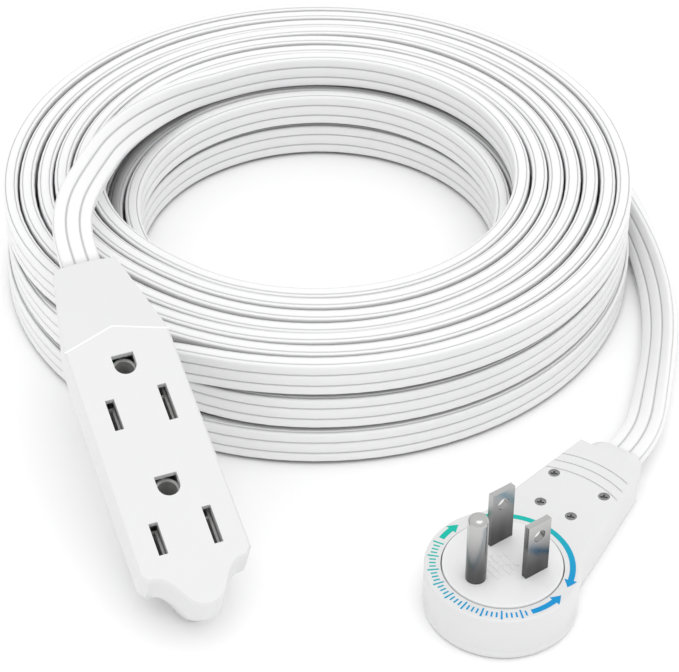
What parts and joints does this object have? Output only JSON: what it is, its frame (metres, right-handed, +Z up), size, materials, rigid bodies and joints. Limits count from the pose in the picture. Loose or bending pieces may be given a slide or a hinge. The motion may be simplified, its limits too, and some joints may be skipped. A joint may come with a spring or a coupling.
{
  "type": "flat extension cord",
  "caption": "White flat three-core extension cord coiled on a surface, with a slim grounded tap at one end and a low-profile plug whose pins rotate at the other.",
  "frame": {"origin": "on the surface that the cord lies on, under the middle of the tap's bounding box", "axes": "+Z up from the surface; +Y along the tap, in plan, toward its cord end; +X across the tap, toward the coil and the plug"},
  "size_m": [0.1779, 0.2384, 0.053],
  "materials": {
    "housing": "smooth white moulding",
    "rotor_face": "fine-grained white moulding",
    "cord_jacket": "white vinyl jacket",
    "relief": "white soft moulding",
    "inner_plastic": "natural moulding",
    "contact_brass": "nickel-plated pressed strip",
    "pin_metal": "bright nickel plate",
    "screw_steel": "zinc-plated",
    "core_black": "core insulation",
    "core_white": "core insulation",
    "core_green": "core insulation",
    "print": "printed arrows and ticks on the plug's ring, teal running to blue"
  },
  "bodies": {
    "cord": {"tap_cover_top": "housing", "tap_cover_bottom": "housing", "contact_carrier": "inner_plastic", "line_contact_strip": "contact_brass", "neutral_contact_strip": "contact_brass", "ground_contact_strip": "contact_brass", "tap_cord_tail": "cord_jacket", "tap_strain_relief": "relief", "tap_cord_clamp": "inner_plastic", "tap_line_core": "core_black", "tap_neutral_core": "core_white", "tap_ground_core": "core_green", "cord_coil": "cord_jacket", "cord_tap_lead": "cord_jacket", "cord_plug_lead": "cord_jacket", "plug_cord_tail": "cord_jacket", "plug_strain_relief": "relief", "plug_cord_clamp": "inner_plastic", "plug_line_core": "core_black", "plug_neutral_core": "core_white", "plug_ground_core": "core_green", "plug_base_cover": "housing", "plug_face_cover": "housing", "plug_screws": "screw_steel", "ring_carrier": "inner_plastic", "line_slip_ring": "contact_brass", "neutral_slip_ring": "contact_brass", "ground_slip_ring": "contact_brass", "rotor_pivot": "screw_steel"},
    "rotor": {"rotor_disc": "rotor_face", "rotor_back_plate": "inner_plastic", "rotor_screws": "screw_steel", "neutral_blade": "pin_metal", "line_blade": "pin_metal", "ground_pin": "pin_metal", "line_brush": "contact_brass", "neutral_brush": "contact_brass", "ground_brush": "contact_brass"}
  },
  "joints": [
    {"name": "rotor_spin", "type": "hinge", "parent": "cord", "child": "rotor", "pos_m": [0.0665, -0.0535, 0.0129], "axis": [0, 0, 1], "continuous": true}
  ]
}
